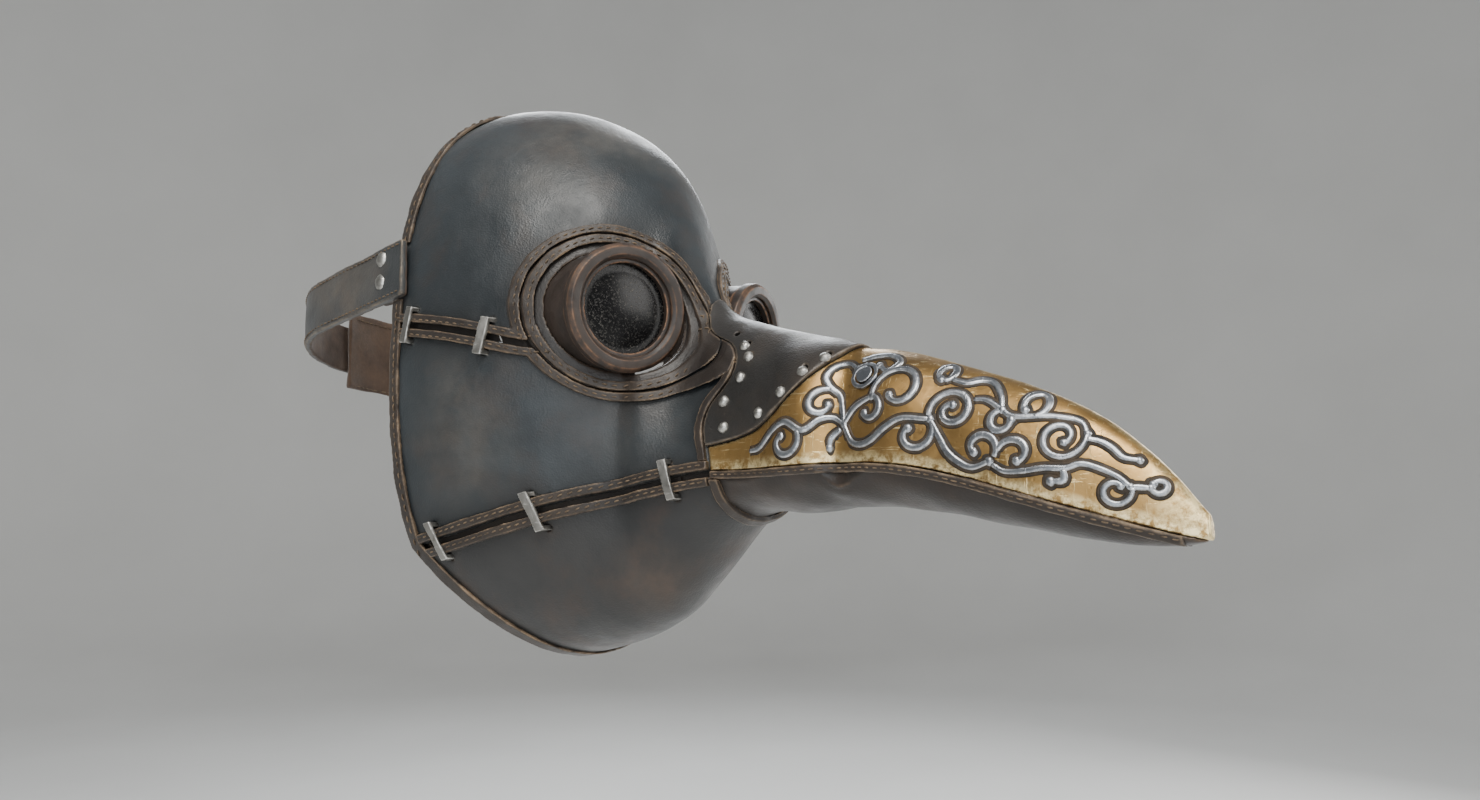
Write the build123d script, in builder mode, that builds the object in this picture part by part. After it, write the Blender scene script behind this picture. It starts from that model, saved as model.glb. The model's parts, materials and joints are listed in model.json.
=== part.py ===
"""Plague doctor mask, millimetres. The face looks along -Y, up is +Z, the wearer's right is -X."""
from build123d import *
from math import cos, sin, radians, atan2, hypot
import os

os.makedirs("parts", exist_ok=True)

# ---- driving dimensions -------------------------------------------------
leather = 3.0            # thickness of the head panels, and of the brass with its lining
brass = 1.3              # thickness of the beak plate
plate_lift = 1.4         # how far the nose plate and the rim binding stand out
seam_gap = 2.4           # open gap between two panels
welt_wide = 3.4          # width of a welt strip
welt_high = 1.9          # height of a welt above the panel
tape_half = 8.0          # half width of the strip behind a seam
tape_thick = 1.4
scroll_wide, scroll_high = 2.5, 1.0
rivet_high = 2.6         # outer face of the nose rivets
staple_high = 3.2
rim_chin_y = -36.0       # the rim runs forward under the chin
rim_turn_z = -85.0
lug_back = 15.0          # ears of the skull panel that carry the strap
lug_low, lug_high = 18.0, 41.0

eye_x, eye_y, eye_z = 39.0, -98.3, 6.0      # centre of the eyepiece front
eye_splay, eye_pitch = 16.0, 6.0
ring_r, opening_r, tube_r = 25.3, 19.1, 24.2
neck_r, lens_r, sight_r = 21.9, 20.1, 17.6
run_gap = 0.35                                # gap round the turning ring

strap_thick, strap_high = 3.0, 24.4
strap_half, strap_front, strap_turn, strap_back = 81.4, -8.0, 60.0, 75.0
strap_z, strap_tilt = 29.7, 4.0

# distances of the layers from the outer surface, positive outward
inner, tape_back = -leather, -leather - tape_thick
brass_back, rivet_back = -brass, -leather - tape_thick - 0.8

# forward distance, top z, bottom z, half width, height of the widest line, roundness of the upper half
stations = (
    (-20, 118, -131, 81, 0, 2.6),
    (0, 118, -131, 81, 0, 2.6),
    (20, 118.5, -131, 78, 0, 2.45),
    (40, 112.5, -129, 70.5, -2, 2.3),
    (60, 99.5, -124, 60, -8, 2.15),
    (75, 86, -119, 49, -16, 2.05),
    (86, 68.5, -114.5, 38.5, -30, 1.85),
    (94, 50, -109, 35, -38, 1.7),
    (102, 28, -101.5, 32.5, -46, 1.55),
    (111, 12, -91, 29, -55, 1.6),
    (120, 5, -81, 26.5, -57, 1.8),
    (128, 1.5, -75, 24.5, -58, 2.0),
    (150, -6, -72.5, 23.5, -58, 2.0),
    (174, -13, -71.5, 22, -58, 2.0),
    (192, -17.5, -72, 20, -58.3, 2.0),
    (215, -25, -75, 17.5, -61.5, 2.0),
    (240, -35, -80, 14.5, -69, 2.0),
    (262, -47, -84, 10.5, -76, 2.0),
    (277, -60, -85.5, 7, -80.5, 2.0),
    (286, -71, -85, 4, -83, 2.0),
    (290.5, -77, -84, 2.2, -82, 2.0),
)


def slope(i, k):
    """Angle at which column k closes in toward the beak tip at station i."""
    j, m = max(i - 1, 0), min(i + 1, len(stations) - 1)
    run = stations[m][0] - stations[j][0]
    rise = stations[j][k] - stations[m][k]
    if k == 2:
        rise = -rise
    return atan2(rise, run)


def section_size(i, t):
    """Station i moved out by t along the surface normal."""
    q, top, bottom, half, mid, power = stations[i]
    angles = [slope(i, k) for k in (1, 2, 3)]
    lead = sin(max(angles + [0.0]))
    grow = [t * (1 - lead * sin(g)) / cos(g) for g in angles]
    return q + t * lead, top + grow[0], bottom - grow[1], half + grow[2], mid, power


def mask_solid(t):
    """Solid bounded by the outer surface of head and beak, moved out by t."""
    even = [k / 12 for k in range(13)]
    with BuildPart() as body:
        for i in range(len(stations)):
            q, top, bottom, half, mid, power = section_size(i, t)
            low_power = 2.3 - 0.3 * min(max(q, 0) / 128, 1)
            if min(half - 0.4, top - mid, mid - bottom) < 0.6:
                break
            left = []
            for k in range(13):
                c, s = sin(radians(15 * k)), cos(radians(15 * k))
                e = power if s >= 0 else low_power
                reach = top - mid if s >= 0 else mid - bottom
                x = half * max(c, 0) ** (2 / e) if 0 < k < 12 else 0
                z = mid + reach * abs(s) ** (2 / e) * (1 if s >= 0 else -1)
                left.append((x, z))
            right = [(-x, z) for x, z in reversed(left)]
            pull, push = 12 * left[1][0], 12 * left[11][0]
            with BuildSketch(Plane.XZ.offset(q)):
                with BuildLine():
                    ends = [(pull, 0), (-push, 0)]
                    add(Edge.make_spline(left, tangents=ends, parameters=even, scale=False))
                    ends = [(-push, 0), (pull, 0)]
                    add(Edge.make_spline(right, tangents=ends, parameters=even, scale=False))
                make_face()
        loft()
    return body.part


def side_prism(outline, reach=130, side=0):
    """Extrude a closed outline of (y, z) points sideways; side -1 or 1 keeps one half."""
    with BuildPart() as body:
        with BuildSketch(Plane.YZ):
            with BuildLine():
                Polyline(*outline, close=True)
            make_face()
        extrude(amount=reach, both=True)
        if side:
            with Locations((-side * 200, 0, 0)):
                Box(400, 1000, 1000, mode=Mode.SUBTRACT)
    return body.part


def curve_points(nodes, steps=5):
    """Points along a smooth curve through the given (y, z) nodes."""
    line = Spline(*nodes)
    count = steps * (len(nodes) - 1)
    return [(p.X, p.Y) for p in (line @ (i / count) for i in range(count + 1))]


def shifted(points, d):
    """The same curve moved sideways by d."""
    moved = []
    for i, p in enumerate(points):
        a, b = points[max(i - 1, 0)], points[min(i + 1, len(points) - 1)]
        run = hypot(b[0] - a[0], b[1] - a[1])
        moved.append((p[0] - d * (b[1] - a[1]) / run, p[1] + d * (b[0] - a[0]) / run))
    return moved


def band(points, a, b):
    """Closed outline between the curve shifted by a and shifted by b."""
    return shifted(points, a) + shifted(points, b)[::-1]


def save(part, name):
    part.label = name
    export_step(part, f"parts/{name}.step")
    print(name, len(part.solids()), round(part.volume), flush=True)


def mirrored(part):
    return mirror(part, about=Plane.YZ)


# ---- surfaces and cutting curves ---------------------------------------
offsets = (rivet_back, tape_back, inner, brass_back, 0, scroll_high, plate_lift, welt_high, rivet_high, staple_high)
shape = {t: mask_solid(t) for t in offsets}


def skin(low, high):
    return shape[high] - shape[low]


upper_seam = curve_points([(22, 8.5), (0, 6.5), (-45, -2), (-66, -7), (-90, -4), (-108, 2), (-135, 4)])
lower_seam = curve_points([(22, -89), (0, -86), (-20, -82), (-47, -75), (-82, -66), (-111, -60.4), (-140, -57.8)])
face_edge = curve_points([(-106, 30), (-112, 6), (-118, -3), (-129, -9), (-134, -17), (-132, -25),
                          (-127, -32), (-124.5, -42), (-126.5, -52), (-127, -62), (-127.5, -100)])
nose_edge = curve_points([(-118, -50), (-132.5, -47.5), (-149, -43), (-161, -34), (-169, -26), (-178, -17), (-190, 0)])
brass_edge = curve_points([(-110, -57), (-127, -57.5), (-159, -58), (-187, -57.8), (-211, -60.8),
                           (-237, -68.2), (-264, -76.6), (-286, -83), (-300, -86)])



def rim_zone(d):
    return side_prism([(d, 170), (d, rim_turn_z - 0.4 * d), (2 * rim_chin_y + 0.8 * d, -177 - 0.6 * d),
                       (-400, -177), (-400, 170)])


def lug_box(grow=0.0):
    high = lug_high - lug_low + 2 * grow
    box = Box(220, lug_back + 10, high, align=(Align.CENTER, Align.MIN, Align.MIN), mode=Mode.PRIVATE)
    return box.moved(Location((0, -10, lug_low - grow)))


head_zone = rim_zone(0) + lug_box()
head_skin = skin(inner, 0) & head_zone
behind_face = side_prism(face_edge + [(-127.5, -200), (100, -200), (100, 200), (-106, 200)])
above_upper = side_prism(shifted(upper_seam, -seam_gap / 2) + [(-135, 200), (22, 200)])
below_upper = side_prism(shifted(upper_seam, seam_gap / 2) + [(-135, -200), (22, -200)])
above_lower = side_prism(shifted(lower_seam, -seam_gap / 2) + [(-140, 200), (22, 200)])
below_lower = side_prism(shifted(lower_seam, seam_gap / 2) + [(-140, -200), (22, -200)])

# ---- eyepiece frame -----------------------------------------------------
es, ep = radians(eye_splay), radians(eye_pitch)
eye_out = (-sin(es) * cos(ep), -cos(es) * cos(ep), -sin(ep))
eye_plane = Plane(origin=(-eye_x, eye_y, eye_z), x_dir=(cos(es), -sin(es), 0), z_dir=eye_out)


def eye_cylinder(r, low, high):
    body = Cylinder(r, high - low, align=(Align.CENTER, Align.CENTER, Align.MIN), mode=Mode.PRIVATE)
    return body.moved(Location((0, 0, low))).moved(eye_plane.location)


def both_eyes(body):
    return body + mirrored(body)


tube_hole = both_eyes(eye_cylinder(tube_r + 0.1, -60, 20))
ring_room = both_eyes(eye_cylinder(ring_r + 0.6, -6.8, 20))
seat_hole = both_eyes(eye_cylinder(31.5, -60, 20))
trim_disc = both_eyes(eye_cylinder(36.0, -60, 10))

# ---- rivet and staple cutters ------------------------------------------


def skin_x(q, z):
    """Half width of the outer surface at forward distance q and height z."""
    for i in range(len(stations) - 1):
        if stations[i][0] <= q <= stations[i + 1][0]:
            f = (q - stations[i][0]) / (stations[i + 1][0] - stations[i][0])
            v = [stations[i][k] * (1 - f) + stations[i + 1][k] * f for k in range(6)]
            reach = v[1] - v[4] if z >= v[4] else v[4] - v[2]
            u = min(abs(z - v[4]) / reach, 0.999)
            return v[3] * (1 - u ** v[5]) ** (1 / v[5])
    return 0.0


def skin_plane(y, z, side=-1):
    """Plane on the outer surface, z axis pointing out of it."""
    x = skin_x(-y, z)
    dy = (skin_x(-y + 1, z) - skin_x(-y - 1, z)) / 2
    dz = (skin_x(-y, z + 1) - skin_x(-y, z - 1)) / 2
    return Plane(origin=(side * x, y, z), x_dir=(side * dy, 1, 0), z_dir=(side, dy, -side * side * dz))


def peg(y, z, r, side=-1, reach=9):
    body = Cylinder(r, 2 * reach, mode=Mode.PRIVATE)
    return body.moved(skin_plane(y, z, side).location)


def pegs(spots, r):
    bodies = [peg(y, z, r, side) for y, z in spots for side in (-1, 1)]
    return Part(children=[]) + bodies


nose_spots = [(-129, -5), (-136.5, -10), (-139.5, -15), (-138, -23), (-132.5, -32), (-133.5, -42), (-172.5, -19),
              (-166, -24), (-158.5, -31), (-149, -38)]
stud_spot = (-188.5, -28)
strap_spots = [(8, 36), (8, 26)]
upper_staple_spots = [(-11.5, 5), (-46.5, -2.5)]
lower_staple_spots = [(-17, -82.6), (-61, -71.5), (-111, -60.4)]
nose_shanks = pegs(nose_spots, 1.1)


# ---- head panels --------------------------------------------------------
panel_skin = (head_skin & behind_face) - both_eyes(eye_cylinder(32.6, -60, 30))


def leg_outline(y, z, run, rise, low, high, wide):
    """Rectangle across a seam at (y, z); run and rise give the seam direction."""
    size = hypot(run, rise)
    ty, tz = run / size, rise / size
    ny, nz = -tz, ty
    corners = ((low, -wide), (high, -wide), (high, wide), (low, wide))
    return [(y + ny * a + ty * b, z + nz * a + tz * b) for a, b in corners]


staple_wide, staple_reach = 1.7, 7.6
upper_runs = [(-45, -8.5), (-45, -8.5)]
lower_runs = [(-27, 7), (-35, 9), (-29, 5.6)]


def staple_set(spots, runs):
    bars = []
    legs = []
    for (y, z), (run, rise) in zip(spots, runs):
        bars.append(side_prism(leg_outline(y, z, run, rise, -staple_reach, staple_reach, staple_wide)))
        legs.append(side_prism(leg_outline(y, z, run, rise, staple_reach - 2, staple_reach, staple_wide)))
        legs.append(side_prism(leg_outline(y, z, run, rise, -staple_reach, -staple_reach + 2, staple_wide)))
    return Part(children=[]) + bars, Part(children=[]) + legs


upper_bars, upper_legs = staple_set(upper_staple_spots, upper_runs)
lower_bars, lower_legs = staple_set(lower_staple_spots, lower_runs)
holes = upper_legs + lower_legs

strap_pegs = Part(children=[])
for side in (-1, 1):
    for y, z in strap_spots:
        shank = Cylinder(1.6, 20, rotation=(0, 90, 0), mode=Mode.PRIVATE)
        strap_pegs += shank.moved(Location((side * 80, y, z)))

skull = (panel_skin & above_upper) - upper_legs - strap_pegs
save(skull, "skull_panel")
cheeks = (panel_skin & below_upper & above_lower) - holes
right_half = Box(400, 1000, 1000, mode=Mode.PRIVATE).moved(Location((-200, 0, 0)))
left_half = Box(400, 1000, 1000, mode=Mode.PRIVATE).moved(Location((200, 0, 0)))
save(cheeks & right_half, "cheek_panel_right")
save(cheeks & left_half, "cheek_panel_left")
chin = (panel_skin & below_lower) - lower_legs
save(chin, "chin_panel")

binding = skin(tape_back, plate_lift) & (rim_zone(1.2) - rim_zone(-5.0))
binding = binding - (skin(inner, 0) & rim_zone(0)) - lug_box(1.0)
save(binding, "rim_binding")

# ---- seams: welts outside, tapes inside ---------------------------------
welt_zone = rim_zone(-5.3) & behind_face
welt_skin = (skin(0, welt_high) & welt_zone) - ring_room
tape_skin = skin(tape_back, inner) & welt_zone
collar_back = side_prism([(-113, 60), (-113, -150), (-400, -150), (-400, 60)])
eye_disc = both_eyes(eye_cylinder(36.2, -60, 30))
eye_ring = eye_disc - both_eyes(eye_cylinder(32.9, -60, 30))
upper_low, upper_high = seam_gap / 2 + 0.2, seam_gap / 2 + 0.2 + welt_wide

above_band = side_prism(band(upper_seam, -upper_low, -upper_high)) - eye_disc
below_band = side_prism(band(upper_seam, upper_low, upper_high)) - eye_disc
above_ring = eye_ring & side_prism(shifted(upper_seam, -upper_low) + [(-135, 200), (22, 200)])
below_ring = eye_ring & side_prism(shifted(upper_seam, upper_low) + [(-135, -200), (22, -200)])
skull_welts = welt_skin & (above_band + above_ring)
cheek_welts = welt_skin & (below_band + below_ring)
chin_side = side_prism(band(lower_seam, upper_low, upper_high)) & welt_skin
cheek_side = side_prism(band(lower_seam, -upper_low, -upper_high)) & welt_skin
for side, half in (("right", right_half), ("left", left_half)):
    save(skull_welts & half, f"skull_welt_{side}")
    save(cheek_welts & half, f"cheek_upper_welt_{side}")
    save(cheek_side & half, f"cheek_lower_welt_{side}")
    save(chin_side & half, f"chin_welt_{side}")

backing = both_eyes(eye_cylinder(38.5, -60, 30) - eye_cylinder(tube_r + 0.1, -60, 30))
upper_tape = (tape_skin & side_prism(band(upper_seam, -tape_half, tape_half))) - upper_legs
upper_tape = upper_tape - both_eyes(eye_cylinder(38.7, -60, 30)) - collar_back
lower_tape = (tape_skin & side_prism(band(lower_seam, -tape_half, tape_half))) - lower_legs - collar_back
for side, half in (("right", right_half), ("left", left_half)):
    save(upper_tape & half, f"upper_seam_tape_{side}")
    save(lower_tape & half, f"lower_seam_tape_{side}")
save((skin(welt_high, staple_high) & upper_bars) + (skin(inner, staple_high) & upper_legs), "upper_seam_staples")
save((skin(welt_high, staple_high) & lower_bars) + (skin(inner, staple_high) & lower_legs), "lower_seam_staples")

# ---- eyepieces ----------------------------------------------------------
eye_back = (tape_skin & backing & right_half) - collar_back - ring_room
save(eye_back, "eyepiece_backing_right")
save(mirrored(eye_back), "eyepiece_backing_left")
seat_ring = eye_cylinder(32.4, -60, 30) - eye_cylinder(tube_r + 0.1, -60, 30)
seat = (skin(inner, 0) & behind_face & seat_ring) - ring_room
save(seat, "eyepiece_seat_right")
save(mirrored(seat), "eyepiece_seat_left")
trim_ring = eye_cylinder(32.0, -60, 30) - eye_cylinder(28.4, -60, 30)
seat_welt = (skin(0, welt_high) & behind_face & trim_ring) - ring_room
save(seat_welt, "eyepiece_welt_right")
save(mirrored(seat_welt), "eyepiece_welt_left")

tube = eye_cylinder(tube_r, -42, -6.3) + eye_cylinder(neck_r, -6.3, -2.6)
tube = tube - eye_cylinder(lens_r + 0.1, -9, 0) - eye_cylinder(sight_r, -60, 0)
tube = tube - shape[rivet_back]
save(tube, "eyepiece_tube_right")
save(mirrored(tube), "eyepiece_tube_left")
gasket = eye_cylinder(lens_r, -9, -8) - eye_cylinder(sight_r, -10, 0)
save(gasket, "lens_gasket_right")
save(mirrored(gasket), "lens_gasket_left")
dome = Sphere(52, mode=Mode.PRIVATE).moved(Location((0, 0, -3.4 - 52))).moved(eye_plane.location)
lens = eye_cylinder(lens_r, -8, -5.6) + (eye_cylinder(sight_r - 0.2, -8, 0) & dome)
save(lens, "lens_right")
save(mirrored(lens), "lens_left")
lens_ring = eye_cylinder(lens_r, -5.6, -2.6) - eye_cylinder(sight_r, -10, 0)
save(lens_ring, "lens_retainer_right")
save(mirrored(lens_ring), "lens_retainer_left")
front_ring = eye_cylinder(ring_r, -5.9, 0) - eye_cylinder(neck_r + run_gap, -5.9, -2.6 + run_gap)
front_ring = front_ring - eye_cylinder(opening_r, -5, 1)
front_edges = front_ring.edges().filter_by(GeomType.CIRCLE).sort_by(lambda e: -abs(e.radius - ring_r))
front_rim = [e for e in front_edges if abs(e.radius - ring_r) < 0.01]
front_rim = sorted(front_rim, key=lambda e: (e.arc_center - eye_plane.origin).length)[0]
front_ring = chamfer(front_rim, 1.4)
save(front_ring, "eyepiece_ring_right")
save(mirrored(front_ring), "eyepiece_ring_left")

# ---- beak ---------------------------------------------------------------
forward_face = side_prism(shifted(face_edge, -0.15) + [(-400, -100), (-400, 30)])
over_edge = side_prism(shifted(brass_edge, -0.1) + [(-310, 100), (-110, 100)])
under_edge = side_prism(shifted(brass_edge, 0.1) + [(-310, -200), (-110, -200)])
nose_zone = side_prism(shifted(nose_edge, -0.15) + [(-190, 60), (-90, 60), (-90, -50)])
nose_room = side_prism(shifted(nose_edge, 0.15) + [(-190, 60), (-90, 60), (-90, -50)])
stud_shank = peg(*stud_spot, 1.2)
brass_plate = (skin(brass_back, 0) & forward_face & over_edge) - nose_room - stud_shank
save(brass_plate, "beak_brass_plate")
beak_lining = (skin(inner, brass_back) & forward_face & over_edge) - nose_shanks - stud_shank
save(beak_lining, "beak_lining")
save(skin(inner, 0) & forward_face & under_edge, "beak_underside")
nose_plate = (skin(brass_back, plate_lift) & forward_face & nose_zone & over_edge) - nose_shanks - ring_room
save(nose_plate, "nose_plate")
collar_zone = side_prism([(-113.2, 60), (-113.2, -150), (-142, -150), (-142, -52), (-186, -20), (-186, 60)])
collar = (skin(tape_back, inner) & collar_zone) - nose_shanks - lower_legs
save(collar, "beak_collar")
root_band = side_prism(band(face_edge, 0.3, 3.4))
root_welt = skin(0, welt_high) & root_band & side_prism([(-60, 16), (-160, 16), (-160, -56), (-60, -56)])
root_welt = (root_welt - ring_room) - skull_welts - cheek_welts - cheek_side - seat_welt - mirrored(seat_welt)
root_welt = max((root_welt & right_half).solids(), key=lambda solid: solid.volume)
save(root_welt, "nose_root_welt_right")
save(mirrored(root_welt), "nose_root_welt_left")
beak_band = side_prism(band(brass_edge, 0.3, 3.1)) & side_prism([(-128, 0), (-284, 0), (-284, -120), (-128, -120)])
beak_welts = skin(0, plate_lift) & beak_band
save(beak_welts & right_half, "beak_welt_right")
save(beak_welts & left_half, "beak_welt_left")
root_strip = side_prism([(-127.8, -57), (-131.2, -57), (-131.2, -110), (-127.8, -110)])
root_strip = skin(0, welt_high) & root_strip & under_edge
save(root_strip - side_prism(band(brass_edge, -1.0, 3.4)), "beak_root_welt")

rivets = (pegs(nose_spots, 2.4) & skin(plate_lift, rivet_high)) + (nose_shanks & skin(rivet_back, plate_lift))
save(rivets, "nose_plate_rivets")
stud = (peg(*stud_spot, 3.1) & skin(0, welt_high)) + (stud_shank & skin(inner, 0))
save(stud, "beak_stud")
stud_ring = (peg(*stud_spot, 5.2) - peg(*stud_spot, 3.7)) & skin(0, plate_lift)
save(stud_ring, "beak_stud_ring")

# ---- head strap ---------------------------------------------------------
ts = radians(strap_tilt)
strap_plane = Plane(origin=(0, 0, strap_z), x_dir=(1, 0, 0), z_dir=(0, sin(ts), cos(ts)))


def strap_outline(x, back):
    with BuildLine() as line:
        Line((-x, strap_front), (-x, strap_turn))
        EllipticalCenterArc((0, strap_turn), x, back, 180, 0, angular_direction=AngularDirection.CLOCKWISE)
        Line((x, strap_turn), (x, strap_front))
        Line((x, strap_front), (-x, strap_front))
    return line


def loop(x, back, high):
    with BuildPart() as body:
        with BuildSketch(strap_plane):
            with BuildLine():
                add(strap_outline(x, back).line)
            make_face()
        extrude(amount=high / 2, both=True)
    return body.part


strap = loop(strap_half + strap_thick, strap_back + strap_thick, strap_high) - loop(strap_half, strap_back, 40)
strap = strap - strap_pegs
save(strap, "head_strap")
pad_cut = Box(76, 200, 200, mode=Mode.PRIVATE).moved(Location((0, 150, 0)))
pad = (loop(strap_half, strap_back, 42) - loop(strap_half - 2.6, strap_back - 2.6, 60)) & pad_cut
save(pad, "strap_back_pad")

strap_rivets = Part(children=[])
for side in (-1, 1):
    for y, z in strap_spots:
        outer = strap_half + strap_thick
        head = Cylinder(3.4, 1.5, rotation=(0, 90, 0), mode=Mode.PRIVATE)
        stem = Cylinder(1.5, 10.6, rotation=(0, 90, 0), mode=Mode.PRIVATE)
        strap_rivets += head.moved(Location((side * (outer + 0.75), y, z)))
        strap_rivets += stem.moved(Location((side * (outer - 5.3), y, z)))
save(strap_rivets, "strap_rivets")

# ---- scroll inlay -------------------------------------------------------


def spiral(q, z, r0, r1, start, sweep):
    """Points of a curl round (q, z): radius r0 at angle start, closing to r1 after sweep degrees."""
    count = max(int(abs(sweep) / 30), 4)
    points = []
    for k in range(count + 1):
        f = k / count
        r = r0 + (r1 - r0) * f
        angle = radians(start + sweep * f)
        points.append((q + r * cos(angle), z + r * sin(angle)))
    return points


stems = (
    ((145, -51.5), (150, -50.5), (156, -45), (162, -42.5), (169, -46), (174, -42.5), (178, -42), (182, -44.5)),
    ((182, -44.5), (181, -39.5), (179.5, -34.5), (176, -31), (174, -27), (176, -23.5), (180, -22.5), (184, -25)),
    ((182, -44.5), (186, -39), (193, -36)),
    ((182, -44.5), (185.5, -50.5), (189.5, -52), (194, -51), (199.5, -47), (205, -44.5), (214, -45.5)),
    ((214, -45.5), (217.5, -52), (220, -56.5), (224, -60), (228, -61.5), (233, -60)),
    ((219, -32.5), (223.5, -34), (228, -33.5), (232, -35), (235, -39.5), (236, -44)),
    ((227, -40), (231, -40.5), (236, -44), (240, -46.5), (250, -47), (258, -49), (260.5, -53)),
    ((260.5, -54.5), (264, -55.5), (267, -57.5), (270, -60.5), (274, -61.5)),
    ((234, -61), (238, -63.3), (244, -63.3), (249, -62.7), (255, -63), (260, -62), (268, -65.5), (272, -69)),
    ((254.5, -63.5), (254.5, -66.5), (251, -66.8)),
    ((181, -46), (178, -49), (177.5, -52.5)),
    ((272, -69), (277, -69.5)),
    ((185, -22), (190.5, -21), (196, -21.5), (200, -24.5), (197, -27.5), (193, -25)),
)
curls = (
    (162, -49.5, 6.2, 2.5, 35, -270), (174.3, -37, 5.6, 2.0, 68, 280), (202, -34.5, 9.2, 3.0, 185, -330),
    (192.5, -40.5, 4.6, 2.2, 80, -230), (209, -49.8, 6.3, 2.6, 30, -255), (220.5, -43, 7.2, 1.8, 190, -460),
    (216.5, -30, 2.6, 2.4, 270, 330), (253.5, -53.8, 7.0, 1.9, 10, -430), (236, -47.5, 3.4, 3.0, 90, 270),
    (245.5, -43, 3.8, 3.2, 270, 300), (230, -55.5, 5.5, 2.3, -35, 250), (240.5, -58, 5.2, 2.4, 165, -235),
    (268, -70, 4.6, 1.9, 10, -330), (279, -69.3, 1.9, 1.7, 180, 330),
)



def stroke(points, wide):
    """Flat strip of the given width along points (forward distance, z)."""
    line = [(-q, z) for q, z in points]
    outline = shifted(line, wide / 2) + shifted(line, -wide / 2)[::-1]
    with BuildSketch(Plane.YZ) as strip:
        with BuildLine():
            Polyline(*outline, close=True)
        make_face()
    return strip.sketch


strokes = []
for stem in stems:
    line = Spline(*stem, mode=Mode.PRIVATE)
    count = 4 * (len(stem) - 1)
    points = [(p.X, p.Y) for p in (line @ (k / count) for k in range(count + 1))]
    strokes.append(stroke(points, scroll_wide if stem[-1][0] < 255 else scroll_wide - 0.5))
for curl in curls:
    strokes.append(stroke(spiral(*curl), scroll_wide if curl[0] < 250 else scroll_wide - 0.6))
    with BuildSketch(Plane.YZ) as blob:
        end = spiral(*curl)[-1]
        with Locations((-end[0], end[1])):
            RegularPolygon(scroll_wide * 0.62, 8)
    strokes.append(blob.sketch)
scroll_face = Sketch() + strokes
scroll_block = extrude(scroll_face, amount=-60)
scroll = (scroll_block & shape[scroll_high]) - shape[0] - peg(*stud_spot, 5.4)
save(scroll, "scroll_inlay_right")
save(mirrored(scroll), "scroll_inlay_left")
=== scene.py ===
import json
import math

import bmesh
import bpy
import numpy as np
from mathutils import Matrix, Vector, noise
from mathutils.bvhtree import BVHTree


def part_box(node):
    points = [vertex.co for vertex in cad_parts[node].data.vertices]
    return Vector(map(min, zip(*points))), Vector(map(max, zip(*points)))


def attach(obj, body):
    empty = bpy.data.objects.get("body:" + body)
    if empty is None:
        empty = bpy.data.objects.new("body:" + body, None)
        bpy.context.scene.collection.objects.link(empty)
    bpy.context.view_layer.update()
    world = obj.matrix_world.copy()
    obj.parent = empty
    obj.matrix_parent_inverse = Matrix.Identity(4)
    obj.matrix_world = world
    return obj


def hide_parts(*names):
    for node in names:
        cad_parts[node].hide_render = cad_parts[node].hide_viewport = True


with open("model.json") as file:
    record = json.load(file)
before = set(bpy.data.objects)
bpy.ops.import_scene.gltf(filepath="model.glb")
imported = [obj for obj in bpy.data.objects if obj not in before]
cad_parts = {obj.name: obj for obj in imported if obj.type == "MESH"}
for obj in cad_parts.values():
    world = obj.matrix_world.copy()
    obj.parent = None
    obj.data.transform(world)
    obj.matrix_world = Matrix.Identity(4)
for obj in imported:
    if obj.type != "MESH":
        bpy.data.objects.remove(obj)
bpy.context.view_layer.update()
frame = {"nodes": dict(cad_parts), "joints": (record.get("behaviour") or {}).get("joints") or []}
nodes = frame["nodes"]
MM = 0.001


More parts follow.
